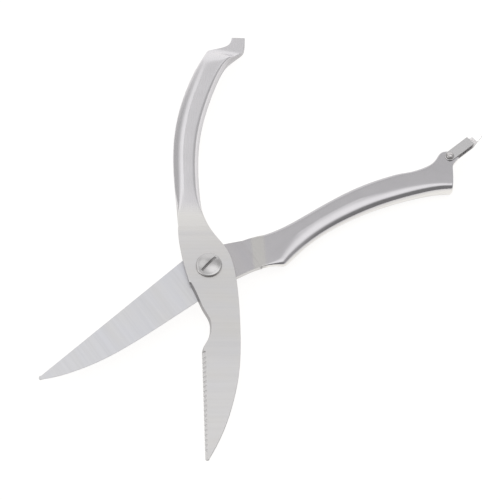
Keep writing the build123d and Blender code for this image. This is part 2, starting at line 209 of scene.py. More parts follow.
def streaks(add, turned, pitch, run, along_y, detail=3.0):
    """Noise drawn out into streaks, across the piece or along it, in the piece's own plane."""
    rise = 1 / (rise_share * pitch)
    scale = (1 / pitch, 1 / run, rise) if along_y else (1 / run, 1 / pitch, rise)
    drawn = add("Mapping", {"Vector": turned.outputs[0], "Scale": scale})
    return add("TexNoise", {"Vector": drawn.outputs[0], "Scale": 1.0, "Detail": detail})


def spread(add, value, low, high):
    """Stretches the middle of a noise to run from one value to another."""
    return add("MapRange", {"Value": value, "From Min": noise_low, "From Max": noise_high,
                            "To Min": low, "To Max": high}).outputs[0]


def tinted(colour, share):
    """A colour made lighter or darker by a share, with its alpha."""
    return (*(min(share * c, 1) for c in colour), 1)


def between(add, value, limits):
    """Goes evenly from 0 to 1 as a value passes between two limits."""
    return add("MapRange", {"Value": value, "From Min": limits[0],
                            "From Max": limits[1]}).outputs[0]


def magnitude(add, value):
    """A value without its sign."""
    return add("Math", {0: value}, operation="ABSOLUTE").outputs[0]


def mixed(add, factor, first, second):
    """A node that goes from one colour to another by a factor."""
    return add("MixRGB", {"Fac": factor, "Color1": first, "Color2": second}).outputs[0]


def ramp(add, value, marks):
    """Grey shares between 0 and 1 at marked distances along the piece, in mm."""
    low = marks[0][0]
    high = marks[-1][0]
    spot = add("MapRange", {"Value": value, "From Min": low * mm, "From Max": high * mm})
    shares = add("ValToRGB", {"Fac": spot.outputs[0]})
    stops = shares.color_ramp.elements
    while len(stops) < len(marks):
        stops.new(0.5)
    for stop, (distance, share) in zip(stops, marks):
        stop.position = (distance - low) / (high - low)
        stop.color = (share, share, share, 1)
    return shares.outputs[0]


def along_piece(add, turned, slant):
    """The distance along the piece, wandering a little as hand work does. A slant above 0 is for
    marks that cross the piece askew."""
    parts = add("SeparateXYZ", {0: turned.outputs[0]})
    distance = add("Math", {0: parts.outputs["X"], 1: slant, 2: parts.outputs["Y"]},
                   operation="MULTIPLY_ADD").outputs[0]
    wander = add("TexNoise", {"Vector": turned.outputs[0], "Scale": wander_scale, "Detail": 2.0})
    return add("Math", {0: wander.outputs["Fac"], 1: weld_wander, 2: distance},
               operation="MULTIPLY_ADD").outputs[0]


shank_bands = 0.015
cool_tint = (0.985, 0.985, 1, 1)
warm_tint = (1, 0.99, 0.97, 1)
bevel_share = 0.94
teeth_shade_share = 0.68
groove_limits = (0.15, 0.35)
flat_limits = (0.65, 0.9)
wall_shade_limits = (0.3, 0.45)
grinding_unevenness = 0.06
grinding_strength = 0.25
grinding_relief = 0.012 * mm


def ground_steel(name, turn, blade, shank, shank_marks, wall_light_and_shade, rough, shank_rough, weld,
                 weld_marks, weld_slant, bands):
    """Sheet steel: the blade is ground across, and the shank beyond the pivot is polished more.
    The walls are painted a darker grey as painted shade, and so are the teeth's grooves. The
    flush-ground weld is paler."""
    material = bpy.data.materials.new(name)
    add = node_adder(material)
    place = add("TexCoord")
    turned = add("Mapping", {"Vector": place.outputs["Object"], "Rotation": (0, 0, turn)})
    lines = streaks(add, turned, grinding_pitch, grinding_run, along_y=False)
    passes = streaks(add, turned, pass_pitch, pass_run, along_y=False, detail=2.0)
    polished = ramp(add, along_piece(add, turned, 0), shank_marks)
    welded = ramp(add, along_piece(add, turned, weld_slant), weld_marks)
    low = mixed(add, polished, tinted(blade, 1 - bands), tinted(shank, 1 - shank_bands))
    high = mixed(add, polished, tinted(blade, 1 + bands), tinted(shank, 1 + shank_bands))
    ground = mixed(add, spread(add, passes.outputs["Fac"], 0, 1), low, high)
    patches = streaks(add, turned, patch_pitch, patch_run, along_y=False, detail=1.0)
    warmth = mixed(add, spread(add, patches.outputs["Fac"], 0, 1), cool_tint, warm_tint)
    ground = add("MixRGB", {"Fac": 1.0, "Color1": ground, "Color2": warmth},
                 blend_type="MULTIPLY").outputs[0]
    face = mixed(add, welded, ground, (*weld, 1))
    facing = add("SeparateXYZ", {0: place.outputs["Normal"]})
    upright = magnitude(add, facing.outputs["Z"])
    lengthwise = magnitude(add, facing.outputs["Y"])
    # Painted shade: the teeth's groove faces are drawn darker than the ground bevel.
    bevel = mixed(add, between(add, lengthwise, groove_limits), tinted(blade, bevel_share),
                  tinted(blade, teeth_shade_share))
    face = mixed(add, between(add, upright, flat_limits), bevel, face)
    # Painted shade: faces that stand up as walls are drawn in the darker wall colour.
    colour = mixed(add, between(add, upright, wall_shade_limits), (*wall_light_and_shade, 1), face)
    fine = spread(add, lines.outputs["Fac"], -grinding_unevenness, grinding_unevenness)
    base = add("MapRange", {"Value": polished, "To Min": rough, "To Max": shank_rough})
    even = add("MapRange", {"Value": welded, "To Min": base.outputs[0], "To Max": weld_rough})
    dull = add("Math", {0: fine, 1: even.outputs[0]}, operation="ADD")
    relief = add("Bump", {"Height": lines.outputs["Fac"], "Strength": grinding_strength,
                          "Distance": grinding_relief})
    steel = add("BsdfPrincipled", {"Base Color": colour, "Metallic": 1.0,
                                   "Roughness": dull.outputs[0], "Normal": relief.outputs[0]})
    add("OutputMaterial", {"Surface": steel.outputs[0]})
    return material


merge_distance = 0.001 * mm
flat_angle = radians(0.5)
crease_angle = radians(12)
square_angle = radians(60)
wall_rise = 0.2
level_rise = 0.99
weld_distance = 23 * mm
weld_margin = 0.05 * mm
blade_easing = 0.12 * mm


def broken_edges(node, width, turn=0, level_only=True):
    """A copy of a CAD solid, merged, whose square edges are rounded as a polishing wheel does.
    Level_only leaves the cutting edge sharp: only edges between a level face and a wall are
    rounded, and those at the weld, which lies along the turned piece, stay square too."""
    lengthwise = Matrix.Rotation(turn, 3, "Z") @ Vector((0, 1, 0))
    bm = bmesh.new()
    bm.from_mesh(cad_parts[node].data)
    bmesh.ops.remove_doubles(bm, verts=bm.verts, dist=merge_distance)
    bmesh.ops.dissolve_limit(bm, angle_limit=flat_angle, verts=bm.verts, edges=bm.edges)
    rims = []
    for edge in bm.edges:
        angle = edge.calc_face_angle(0)
        edge.smooth = angle < crease_angle
        rises = sorted(abs(face.normal.z) for face in edge.link_faces)
        level_to_wall = rises[0] < wall_rise and rises[-1] > level_rise
        at_weld = all(vert.co @ lengthwise > weld_distance - weld_margin for vert in edge.verts)
        if angle > square_angle and (level_to_wall and not at_weld or not level_only):
            rims.append(edge)
    rounded = bmesh.ops.bevel(bm, geom=rims, offset=width, offset_type="OFFSET", segments=2,
                              profile=0.5, affect="EDGES", clamp_overlap=False, material=-1)
    for face in rounded["faces"]:
        for edge in face.edges:
            edge.smooth = True
    for face in bm.faces:
        face.smooth = True
    piece = new_piece(node + "_finished", bm)
    weigh_normals(piece)
    return piece


def weigh_normals(piece):
    """Keeps broad flat faces flat to the eye beside their rounded edges."""
    shading = piece.modifiers.new("shading", "WEIGHTED_NORMAL")
    shading.weight = 100
    shading.keep_sharp = True


def fit(piece, body, node, slot, *materials):
    """Gives a finished piece its steel, its body and the CAD node that it stands for."""
    for material in materials:
        piece.data.materials.append(material)
    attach(piece, body)
    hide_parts(node)


front_weld_colour = (0.8, 0.785, 0.765)
front_weld = [(15, 0), (17, 0.35), (19.5, 0.1), (22, 0.8), (25, 0.9), (30, 1), (34, 0.5), (38, 0)]
front_blade = broken_edges("front_blade", blade_easing)
fit(front_blade, "front_half", "front_blade", "satin_steel",
    ground_steel("front_blade_ground", turn=0, blade=(0.69, 0.683, 0.683),
                 shank=(0.73, 0.72, 0.718), shank_marks=[(-5, 0), (15, 1)],
                 wall_light_and_shade=(0.38, 0.37, 0.37), rough=0.36, shank_rough=0.33,
                 weld=front_weld_colour, weld_marks=front_weld, weld_slant=0, bands=0.018))


# Front handle: forged in stainless steel, welded to the shank and ground flush there. It swells
# from the flat shank to a full bar and ends in a shoulder and a nib, over which the latch hooks.

# Each ring across the bar: its left and right ends (x, y), the top's and the bottom's heights at
# those ends, how far each side leans in, and how far each top corner reaches across and down
front_rings = [
    ((-16.60, 23.0), (-0.30, 23.0), (8.05, 8.05), (4.75, 4.75), (0, 0), (0.4, 0.3), (0.4, 0.3)),
    ((-17.09, 27.0), (-2.28, 27.0), (8.2, 8.2), (4.75, 4.75), (0, 0), (0.6, 0.4), (0.5, 0.4)),
    ((-17.54, 31.0), (-3.61, 31.0), (8.5, 8.5), (4.24, 4.24), (0.1, 0.2), (1.4, 0.8), (0.8, 0.7)),
    ((-17.98, 35.0), (-4.53, 35.0), (8.85, 8.85), (1.75, 1.75), (0.4, 0.8), (2.8, 2.1), (1.1, 1.0)),
    ((-18.52, 40.0), (-5.36, 40.0), (9.2, 9.2), (0.0, 0.0), (0, 1.3), (4.6, 1.6), (1.5, 1.4)),
    ((-19.21, 46.0), (-6.00, 46.0), (9.38, 9.38), (0.0, 0.0), (0, 1.5), (6.2, 2.3), (2.3, 2.4)),
    ((-20.06, 54.5), (-6.68, 54.5), (9.4, 9.4), (0.0, 0.0), (0, 1.5), (7.4, 2.7), (2.3, 2.4)),
    ((-20.77, 65.0), (-7.05, 65.0), (9.4, 9.4), (0.0, 0.0), (0, 1.5), (7.8, 2.85), (2.3, 2.4)),
    ((-20.81, 76.0), (-6.67, 76.0), (9.4, 9.4), (0.0, 0.0), (0, 1.5), (7.8, 2.85), (2.3, 2.4)),
    ((-19.90, 87.0), (-5.26, 87.0), (9.4, 9.4), (0.0, 0.0), (0, 1.5), (7.8, 2.85), (2.3, 2.4)),
    ((-18.06, 98.0), (-2.85, 98.0), (9.4, 9.4), (0.0, 0.0), (0, 1.5), (7.6, 2.8), (2.3, 2.4)),
    ((-15.23, 109.0), (-0.03, 108.0), (9.4, 9.4), (0.0, 0.0), (0, 1.5), (7.2, 2.7), (2.3, 2.4)),
    ((-11.40, 120.0), (3.27, 117.9), (9.4, 9.4), (0.0, 0.0), (0, 1.6), (6.4, 2.4), (1.7, 1.5)),
    ((-7.65, 129.0), (7.02, 126.4), (9.25, 9.4), (0.0, 0.0), (0, 1.5), (5.2, 1.9), (1.6, 1.5)),
    ((-6.15, 132.4), (8.90, 129.3), (8.1, 9.3), (0.3, 0.0), (0.6, 1.2), (1.9, 1.5), (1.5, 1.4)),
    ((-4.75, 136.2), (10.89, 131.9), (6.0, 8.7), (0.85, 0.1), (0.35, 0.7), (1.4, 1.0), (1.3, 1.2)),
    ((-3.45, 139.0), (12.82, 133.9), (5.0, 6.4), (0.95, 0.6), (0.15, 0.3), (1.0, 0.8), (1.2, 0.9)),
    ((-2.15, 139.5), (13.81, 134.8), (4.8, 5.5), (0.95, 0.8), (0.1, 0.2), (0.8, 0.7), (1.0, 0.8)),
    ((1.20, 140.4), (15.58, 136.4), (4.65, 4.8), (0.95, 0.95), (0, 0), (0.7, 0.6), (0.9, 0.7)),
    ((4.90, 141.3), (17.01, 137.8), (4.65, 4.65), (0.95, 0.95), (0, 0), (0.7, 0.6), (0.8, 0.6)),
    ((7.30, 142.3), (17.73, 139.3), (4.65, 4.65), (0.95, 0.95), (0, 0), (0.7, 0.6), (0.7, 0.6)),
    ((8.95, 143.5), (18.20, 141.5), (4.65, 4.65), (0.95, 0.95), (0, 0), (0.7, 0.6), (0.7, 0.6)),
    ((10.35, 145.8), (18.30, 144.8), (4.65, 4.65), (0.95, 0.95), (0, 0), (0.7, 0.6), (0.7, 0.6)),
    ((10.65, 148.2), (18.30, 147.9), (4.65, 4.65), (0.95, 0.95), (0, 0), (0.7, 0.6), (0.7, 0.6)),
]
corner_steps = 5
corner_power = 2.4
roll_shares = [(1, 0), (0.8, 0.04), (0.6, 0.16), (0.4, 0.36), (0.2, 0.64), (0, 1)]
shoulder_shares = [(1, 0), (0.72, 0.05), (0.46, 0.17), (0.25, 0.36), (0.08, 0.67), (0, 1)]
roll_least = 3.0
under_ease = 1.8
under_share = 0.7
flat_marks = (0.42, 0.58)
top_crown = 0.35
sheet_thickness = 3.3
bar_thickness = 9.4


def soft_corner(across, down):
    """Points round a corner that turns slowly at first, as (in from the side, down or up)."""
    points = []
    for i in range(corner_steps + 1):
        angle = pi / 2 * i / corner_steps
        points.append((across * (1 - sin(angle) ** (2 / corner_power)),
                       down * (1 - cos(angle) ** (2 / corner_power))))
    return points


def bar_ring(bm, left, right, tops, bottoms, draft, ease_left, ease_right, crown):
    """One closed ring across a forged bar, and its vertices on the fold lines: the parting line
    on both sides, and the lower end of a left side that is rolled over. The crown grows with the
    bar's thickness, so that there is none at the weld."""
    left = Vector(left)
    across = Vector(right) - left
    width = across.length
    across.normalize()
    half = min(t - b for t, b in zip(tops, bottoms)) / 2
    under = min(under_ease, under_share * half)
    crown *= max(0, (2 * half - sheet_thickness) / (bar_thickness - sheet_thickness))
    rolled = ease_left[0] > roll_least
    upper_left = soft_corner(*ease_left)
    if rolled:
        upper_left = [(ease_left[0] * s, ease_left[1] * z) for s, z in roll_shares]
    upper_right = soft_corner(*ease_right)
    if ease_right[0] > roll_least:
        upper_right = [(ease_right[0] * s, ease_right[1] * z) for s, z in shoulder_shares]
    lower = soft_corner(under, under)
    outline = [(0, 0, 0)]
    outline += [(s, 1, z) for s, z in reversed(upper_left)]
    outline += [(width * s, 1, 0) for s in flat_marks]
    outline += [(width - s, 1, z) for s, z in upper_right]
    outline += [(width, 0, 0)]
    outline += [(width - s, -1, z) for s, z in reversed(lower)]
    outline += [(width * s, -1, 0) for s in reversed(flat_marks)]
    outline += [(s, -1, z) for s, z in lower]
    ring = []
    for s, side, away in outline:
        share = s / width
        top = tops[0] + share * (tops[1] - tops[0])
        bottom = bottoms[0] + share * (bottoms[1] - bottoms[0])
        middle = (top + bottom) / 2
        z = {1: top - away, 0: middle, -1: bottom + away}[side]
        lean = 2 * abs(z - middle) / (top - bottom)
        point = left + across * (s + lean * (draft[0] * (1 - share) - draft[1] * share))
        if side == 1:
            z -= crown * (2 * share - 1) ** 2
        ring.append(bm.verts.new((point.x * mm, point.y * mm, z * mm)))
    folds = [ring[0], ring[len(upper_left) + len(upper_right) + 3]]
    if rolled:
        folds.append(ring[1])
    return [bm.edges.new((ring[i - 1], ring[i])) for i in range(len(ring))], folds


fold_crease = 0.9
cap_inset = 0.3 * mm
skin_levels = 2


def forged_bar(name, rings, crown, turn, square_ends):
    """Rings bridged into a skin that keeps its parting line, closed and square at its ends."""
    bm = bmesh.new()
    crease = bm.edges.layers.float.new("crease_edge")
    loops = []
    lines = [set(), set(), set()]
    for ring in rings:
        loop, folds = bar_ring(bm, *ring, crown)
        loops.append(loop)
        for line, vert in zip(lines, folds):
            line.add(vert)
    for near, far in zip(loops, loops[1:]):
        bmesh.ops.bridge_loops(bm, edges=near + far)
    for edge in bm.edges:
        if any(line.issuperset(edge.verts) for line in lines):
            edge[crease] = fold_crease
    for end in (loops[0], loops[-1]):
        cap = bmesh.ops.contextual_create(bm, geom=end)["faces"]
        bmesh.ops.inset_region(bm, faces=cap, thickness=cap_inset)
    for end in square_ends:
        for edge in loops[end]:
            edge[crease] = 1.0
            edge.smooth = False
    bmesh.ops.recalc_face_normals(bm, faces=bm.faces)
    bmesh.ops.rotate(bm, verts=bm.verts, matrix=Matrix.Rotation(turn, 3, "Z"))
    for face in bm.faces:
        face.smooth = True
    bar = new_piece(name, bm)
    skin = bar.modifiers.new("skin", "SUBSURF")
    skin.levels = skin_levels
    skin.render_levels = skin_levels
    return bar


polish_pitch = 0.13 * mm
polish_run = 45 * mm
polish_unevenness = 0.03
polish_strength = 0.1
polish_relief = 0.006 * mm
cloud_size = 9 * mm
cloud_tint = 0.02
cloud_strength = 0.5
cloud_relief = 0.08 * mm
side_shading_limits = (0.15, 0.5)


def forged_steel(name, turn, colour, wall_light_and_shade, rough, weld=None, weld_marks=None, weld_slant=0):
    """Forged steel polished lengthwise: faint lines along the bar, a little unevenness left from
    the hammer, sides given their own tone as painted light and shade, and a paler patch by the
    weld, ground across like the shank."""
    material = bpy.data.materials.new(name)
    add = node_adder(material)
    coordinates = add("TexCoord")
    place = coordinates.outputs["Object"]
    normal = coordinates.outputs["Normal"]
    turned = add("Mapping", {"Vector": place, "Rotation": (0, 0, turn)})
    lines = streaks(add, turned, polish_pitch, polish_run, along_y=True).outputs["Fac"]
    clouds = add("TexNoise", {"Vector": place, "Scale": 1 / cloud_size, "Detail": 2.0})
    tone = mixed(add, spread(add, clouds.outputs["Fac"], 0, 1), tinted(colour, 1 - cloud_tint),
                 tinted(colour, 1 + cloud_tint))
    upright = magnitude(add, add("SeparateXYZ", {0: normal}).outputs["Z"])
    # Painted light and shade: faces that stand up as sides take the side colour.
    tone = mixed(add, between(add, upright, side_shading_limits), (*wall_light_and_shade, 1), tone)
    even = rough
    if weld:
        welded = ramp(add, along_piece(add, turned, weld_slant), weld_marks)
        tone = mixed(add, welded, tone, (*weld, 1))
        even = add("MapRange", {"Value": welded, "To Min": rough, "To Max": weld_rough}).outputs[0]
        crossing = streaks(add, turned, grinding_pitch, grinding_run, along_y=False)
        lines = mixed(add, welded, lines, crossing.outputs["Fac"])
    fine = spread(add, lines, -polish_unevenness, polish_unevenness)
    dull = add("Math", {0: fine, 1: even}, operation="ADD").outputs[0]
    uneven = add("Bump", {"Height": clouds.outputs["Fac"], "Strength": cloud_strength,
                          "Distance": cloud_relief})
    relief = add("Bump", {"Height": lines, "Strength": polish_strength,
                          "Distance": polish_relief, "Normal": uneven.outputs[0]})
    steel = add("BsdfPrincipled", {"Base Color": tone, "Metallic": 1.0, "Roughness": dull,
                                   "Normal": relief.outputs[0]})
    add("OutputMaterial", {"Surface": steel.outputs[0]})
    return material


front_handle = forged_bar("front_handle_forged", front_rings, crown=top_crown, turn=0,
                          square_ends=(0, -1))
# The front handle's sides are painted darker as painted shade.
fit(front_handle, "front_half", "front_handle", "satin_steel",
    forged_steel("front_handle_satin", turn=0, colour=(0.75, 0.735, 0.755),
                 wall_light_and_shade=(0.48, 0.47, 0.48), rough=0.26, weld=front_weld_colour,
                 weld_marks=front_weld))


# Rear blade: the plain lower blade, ground like the upper one but bevelled on its hidden side.
# Its broad shank runs out under the front blade to the second weld, and is polished there.

rear_weld_colour = (0.605, 0.592, 0.575)
rear_weld = [(27, 0), (28.5, 0.9), (31.5, 1), (34.5, 0.9), (36.5, 0)]
rear_weld_slant = 0.58
rear_blade = broken_edges("rear_blade", blade_easing, -open_angle)
fit(rear_blade, "rear_half", "rear_blade", "satin_steel",
    ground_steel("rear_blade_ground", turn=open_angle, blade=(0.72, 0.722, 0.745),
                 shank=(0.565, 0.552, 0.57), shank_marks=[(-12, 0), (6, 1)],
                 wall_light_and_shade=(0.62, 0.61, 0.60), rough=0.34, shank_rough=0.22,
                 weld=rear_weld_colour, weld_marks=rear_weld, weld_slant=rear_weld_slant,
                 bands=0.03))


# Rear handle: the second forging, polished brighter. Its top is one flat face from the shank to
# the nib, with a sharp heel by the weld, a broad rolled-over outer shoulder and a squared-off end.

rear_rings = [
    ((-3.10, 23.0), (15.50, 23.0), (4.65, 4.65), (1.35, 1.35), (0, 0), (0.8, 0.4), (0.6, 0.6)),
    ((-2.37, 26.5), (16.86, 26.5), (4.65, 4.65), (1.35, 1.35), (0, 0), (1.0, 0.6), (1.2, 0.9)),
    ((-1.14, 30.5), (18.95, 30.3), (4.65, 4.65), (0.95, 0.95), (0.1, 0.1), (1.2, 0.8), (2.4, 1.4)),
    ((-0.26, 33.5), (20.83, 33.3), (4.65, 4.65), (-1.0, -1.0), (0.3, 0.3), (2.0, 1.4), (4.0, 1.9)),
    ((0.23, 35.0), (20.87, 34.7), (4.65, 4.65), (-2.4, -2.4), (0.5, 0.5), (2.1, 1.5), (4.8, 2.2)),
    ((1.36, 39.5), (19.78, 39.5), (4.65, 4.65), (-4.75, -4.75), (0.5, 0.9), (2.4, 1.9), (5.6, 2.6)),
    ((2.48, 47.0), (18.44, 47.4), (4.65, 4.65), (-4.75, -4.75), (0.6, 1.2), (2.6, 2.2), (6.8, 2.9)),
    ((3.03, 54.0), (17.73, 54.5), (4.65, 4.65), (-4.75, -4.75), (0.6, 1.25), (2.6, 2.2), (7.4, 3.0)),
    ((3.40, 61.5), (17.54, 61.5), (4.65, 4.65), (-4.75, -4.75), (0.6, 1.25), (2.6, 2.2), (7.4, 3.0)),
    ((3.79, 69.0), (17.87, 69.0), (4.65, 4.65), (-4.75, -4.75), (0.6, 1.25), (2.6, 2.2), (7.4, 3.0)),
    ((4.29, 76.5), (18.58, 76.0), (4.65, 4.65), (-4.75, -4.75), (0.6, 1.25), (2.6, 2.2), (7.4, 3.0)),
    ((4.99, 84.0), (19.65, 83.2), (4.65, 4.65), (-4.75, -4.75), (0.6, 1.25), (2.6, 2.2), (7.4, 3.0)),
    ((6.08, 92.0), (21.17, 90.8), (4.65, 4.65), (-4.75, -4.75), (0.6, 1.25), (2.6, 2.2), (6.8, 2.9)),
    ((7.60, 99.5), (23.02, 98.0), (4.65, 4.65), (-4.75, -4.75), (0.6, 1.25), (2.6, 2.2), (5.9, 2.7)),
    ((9.47, 106.5), (25.40, 105.8), (4.65, 4.65), (-4.75, -4.75), (0.6, 1.25), (2.5, 2.1), (5.4, 2.6)),
    ((11.39, 112.5), (27.87, 113.0), (4.65, 4.65), (-4.75, -4.75), (0.6, 1.25), (2.4, 2.0), (5.4, 2.6)),
    ((12.80, 116.6), (30.24, 119.2), (4.65, 4.65), (-4.75, -4.75), (0.6, 1.25), (2.3, 1.9), (5.2, 2.6)),
    ((15.51, 121.6), (32.76, 125.2), (4.65, 4.65), (-4.75, -4.75), (0.6, 1.2), (2.2, 1.8), (5.0, 2.5)),
    ((16.82, 126.6), (35.58, 130.5), (4.65, 4.65), (-4.75, -4.75), (1.1, 1.1), (2.1, 1.7), (4.8, 2.5)),
    ((17.76, 130.3), (37.77, 133.6), (4.65, 4.65), (-4.75, -4.75), (1, 1), (2.0, 1.6), (4.4, 2.4)),
    ((18.48, 133.0), (38.30, 134.6), (4.65, 4.65), (-4.75, -4.75), (0.8, 0.8), (1.3, 1.1), (3.6, 2.2)),
    ((18.92, 135.5), (36.87, 135.7), (4.65, 4.65), (-3.2, -3.2), (0.4, 0.4), (1.2, 1.0), (1.2, 1.0)),
    ((18.63, 138.0), (33.97, 137.95), (4.65, 4.65), (-0.2, -0.2), (0.1, 0.1), (1.1, 1.0), (0.4, 0.4)),
    ((17.86, 140.2), (31.15, 140.15), (4.65, 4.65), (0.85, 0.85), (0, 0), (1.0, 0.9), (0.4, 0.4)),
    ((17.08, 142.0), (28.89, 141.9), (4.65, 4.65), (0.95, 0.95), (0, 0), (1.0, 0.8), (0.5, 0.5)),
    ((16.78, 143.6), (27.09, 143.3), (4.65, 4.65), (0.95, 0.95), (0, 0), (1.0, 0.8), (0.7, 0.7)),
    ((17.17, 145.3), (26.42, 144.7), (4.65, 4.65), (0.95, 0.95), (0, 0), (1.0, 0.8), (0.7, 0.7)),
    ((18.37, 147.2), (25.94, 146.4), (4.65, 4.65), (0.95, 0.95), (0, 0), (0.9, 0.8), (0.7, 0.7)),
    ((20.40, 148.9), (25.54, 148.2), (4.65, 4.65), (0.95, 0.95), (0, 0), (0.8, 0.7), (0.7, 0.7)),
    ((22.40, 150.1), (24.94, 149.5), (4.65, 4.65), (0.95, 0.95), (0, 0), (0.5, 0.5), (0.5, 0.5)),
]
rear_handle = forged_bar("rear_handle_forged", rear_rings, crown=0, turn=-open_angle,
                         square_ends=(0,))
# The rear handle's sides are painted light beige as a painted reflection of the table.
fit(rear_handle, "rear_half", "rear_handle", "polished_steel",
    forged_steel("rear_handle_polished", turn=open_angle, colour=(0.575, 0.562, 0.58),
                 wall_light_and_shade=(0.82, 0.805, 0.775), rough=0.2, weld=rear_weld_colour,
                 weld_marks=rear_weld, weld_slant=rear_weld_slant))


# Pivot nut: a low round flange behind the rear blade, turned from bar, whose barrel both blades
# ride on. Only its edges show, so the CAD solid is kept and its edges are broken.

nut_easing = 0.15 * mm
nut_colour = (0.62, 0.61, 0.62)
nut = broken_edges("pivot_nut", nut_easing)
fit(nut, "rear_half", "pivot_nut", "polished_steel",
    forged_steel("nut_polished", turn=0, colour=nut_colour, wall_light_and_shade=nut_colour, rough=0.22))


# Pivot screw: a domed head with a milled slot, turned from stainless bar and screwed into the
# nut's barrel. The turning leaves rings on the dome, which catch the light in two fans.

head_radius = 6.75 * mm
head_seat = 8.10 * mm
head_rim = 1.2 * mm
head_rise = 1.4 * mm
rim_ease = 0.7 * mm
shank_radius = 2.5 * mm
shank_end = 1.8 * mm
slot_width = 1.35 * mm
slot_depth = 1.05 * mm
slot_angle = radians(47.6)
# Height of the painted shadow on the head's rim, above its seat.
seat_shade_height = 0.8 * mm
lip_angle = radians(50)
lip_easing = 0.07 * mm
edge_angle = radians(38)
rim_steps = 5
dome_steps = 12
foot = 0.1 * mm
ring_pitch = 0.16 * mm
ring_strength = 0.12
ring_relief = 0.01 * mm
ring_stretch = 0.7
dull_spread = 0.06
bright_spread = 0.05


def turned_piece(name, profile, steps=128):
    """A solid of revolution about Z, spun from a half profile of (radius, height) points."""
    bm = bmesh.new()
    points = [bm.verts.new((r, 0, z)) for r, z in profile]
    edges = [bm.edges.new(pair) for pair in zip(points, points[1:])]
    bmesh.ops.spin(bm, geom=points + edges, cent=(0, 0, 0), axis=(0, 0, 1), angle=2 * pi,
                   steps=steps, use_merge=True)
    bmesh.ops.remove_doubles(bm, verts=bm.verts, dist=merge_distance)
    bmesh.ops.recalc_face_normals(bm, faces=bm.faces)
    for face in bm.faces:
        face.smooth = True
    return new_piece(name, bm)


def domed_profile(seat, radius, rim, rise, ease):
    """Half profile of a turned head, from its seat over a rounded rim to the dome's top."""
    inner = radius - ease
    ball = (inner ** 2 + rise ** 2) / (2 * rise)
    top = seat + rim + rise
    rounding = [(inner + ease * cos(a), seat + rim - ease * (1 - sin(a)))
                for a in (pi / (2 * rim_steps) * i for i in range(rim_steps))]
    dome = [(r, top - ball + (ball ** 2 - r ** 2) ** 0.5)
            for r in (inner * (1 - i / dome_steps) for i in range(dome_steps + 1))]
    return [(radius - foot, seat), (radius, seat + foot)] + rounding + dome


def cut_away(piece, tool):
    """Takes a cutting tool's shape out of a piece, and removes the tool."""
    cut = piece.modifiers.new("cut", "BOOLEAN")
    cut.operation = "DIFFERENCE"
    cut.object = tool
    cut.solver = "EXACT"
    bpy.context.view_layer.update()
    shaped = piece.evaluated_get(bpy.context.evaluated_depsgraph_get())
    mesh = bpy.data.meshes.new_from_object(shaped)
    piece.modifiers.clear()
    piece.data = mesh
    bpy.data.objects.remove(tool)


def turned_steel(name, colour, rough, seat_shade, seat_shade_heights):
    """Turned steel: fine rings about the pivot's axis, which stretch reflections outwards, and a
    painted shadow where the head sits, between the two heights."""
    material = bpy.data.materials.new(name)
    add = node_adder(material)
    place = add("TexCoord").outputs["Object"]
    flat = add("VectorMath", {0: place, 1: (1, 1, 0)}, operation="MULTIPLY")
    radius = add("VectorMath", {0: flat.outputs[0]}, operation="LENGTH")
    rings = add("Math", {0: radius.outputs["Value"], 1: 2 * pi / ring_pitch},
                operation="MULTIPLY")
    wave = add("Math", {0: rings.outputs[0]}, operation="SINE")
    grain = add("TexNoise", {"Vector": place, "Scale": 900.0, "Detail": 3.0})
    dull = spread(add, grain.outputs["Fac"], rough - bright_spread, rough + dull_spread)
    relief = add("Bump", {"Height": wave.outputs[0], "Strength": ring_strength,
                          "Distance": ring_relief})
    tangent = add("Tangent", direction_type="RADIAL", axis="Z")
    height = add("SeparateXYZ", {0: place}).outputs["Z"]
    # Painted shade: the head is drawn darker near its seat, low on the rim.
    painted_shade = add("MapRange", {"Value": height, "From Min": seat_shade_heights[1],
                              "From Max": seat_shade_heights[0]})
    shown = mixed(add, painted_shade.outputs[0], (*colour, 1), (*seat_shade, 1))
    steel = add("BsdfPrincipled", {"Base Color": shown, "Metallic": 1.0,
                                   "Roughness": dull, "Anisotropic": ring_stretch,
                                   "Normal": relief.outputs[0], "Tangent": tangent.outputs[0]})
    add("OutputMaterial", {"Surface": steel.outputs[0]})
    return material


def slot_floor():
    """The slot's floor: rough from the cutter, and dark with painted shade and old grease."""
    material = bpy.data.materials.new("slot_floor")
    add = node_adder(material)
    place = add("TexCoord").outputs["Object"]
    grease = add("TexNoise", {"Vector": place, "Scale": 700.0, "Detail": 4.0})
    # Painted shade in the narrow slot, with darker and lighter spots of grease.
    painted_shade = (0.2, 0.195, 0.195, 1)
    bare = (0.42, 0.41, 0.41, 1)
    colour = mixed(add, spread(add, grease.outputs["Fac"], 0, 1), painted_shade, bare)
    steel = add("BsdfPrincipled", {"Base Color": colour, "Metallic": 0.5, "Roughness": 0.6})
    add("OutputMaterial", {"Surface": steel.outputs[0]})
    return material


screw = turned_piece("pivot_screw_turned",
                     [(0, shank_end), (shank_radius, shank_end), (shank_radius, head_seat)]
                     + domed_profile(head_seat, head_radius, head_rim, head_rise, rim_ease))
screw_materials = (
    turned_steel("screw_turned", colour=(0.57, 0.56, 0.56), rough=0.19,
                 seat_shade=(0.22, 0.19, 0.18), seat_shade_heights=(head_seat, head_seat + seat_shade_height)),
    slot_floor(),
)
for material in screw_materials:
    screw.data.materials.append(material)
bm = bmesh.new()
bmesh.ops.create_cube(bm, size=1)
bmesh.ops.scale(bm, verts=bm.verts, vec=(3 * head_radius, slot_width, 2 * slot_depth))
for face in bm.faces:
    face.material_index = 1 if face.normal.z < -0.9 else 0
bmesh.ops.rotate(bm, verts=bm.verts, matrix=Matrix.Rotation(slot_angle, 3, "Z"))
bmesh.ops.translate(bm, verts=bm.verts, vec=(0, 0, head_seat + head_rim + head_rise))
cutter = new_piece("slot_cutter", bm)
for material in screw_materials:
    cutter.data.materials.append(material)
cut_away(screw, cutter)
bm = bmesh.new()
bm.from_mesh(screw.data)
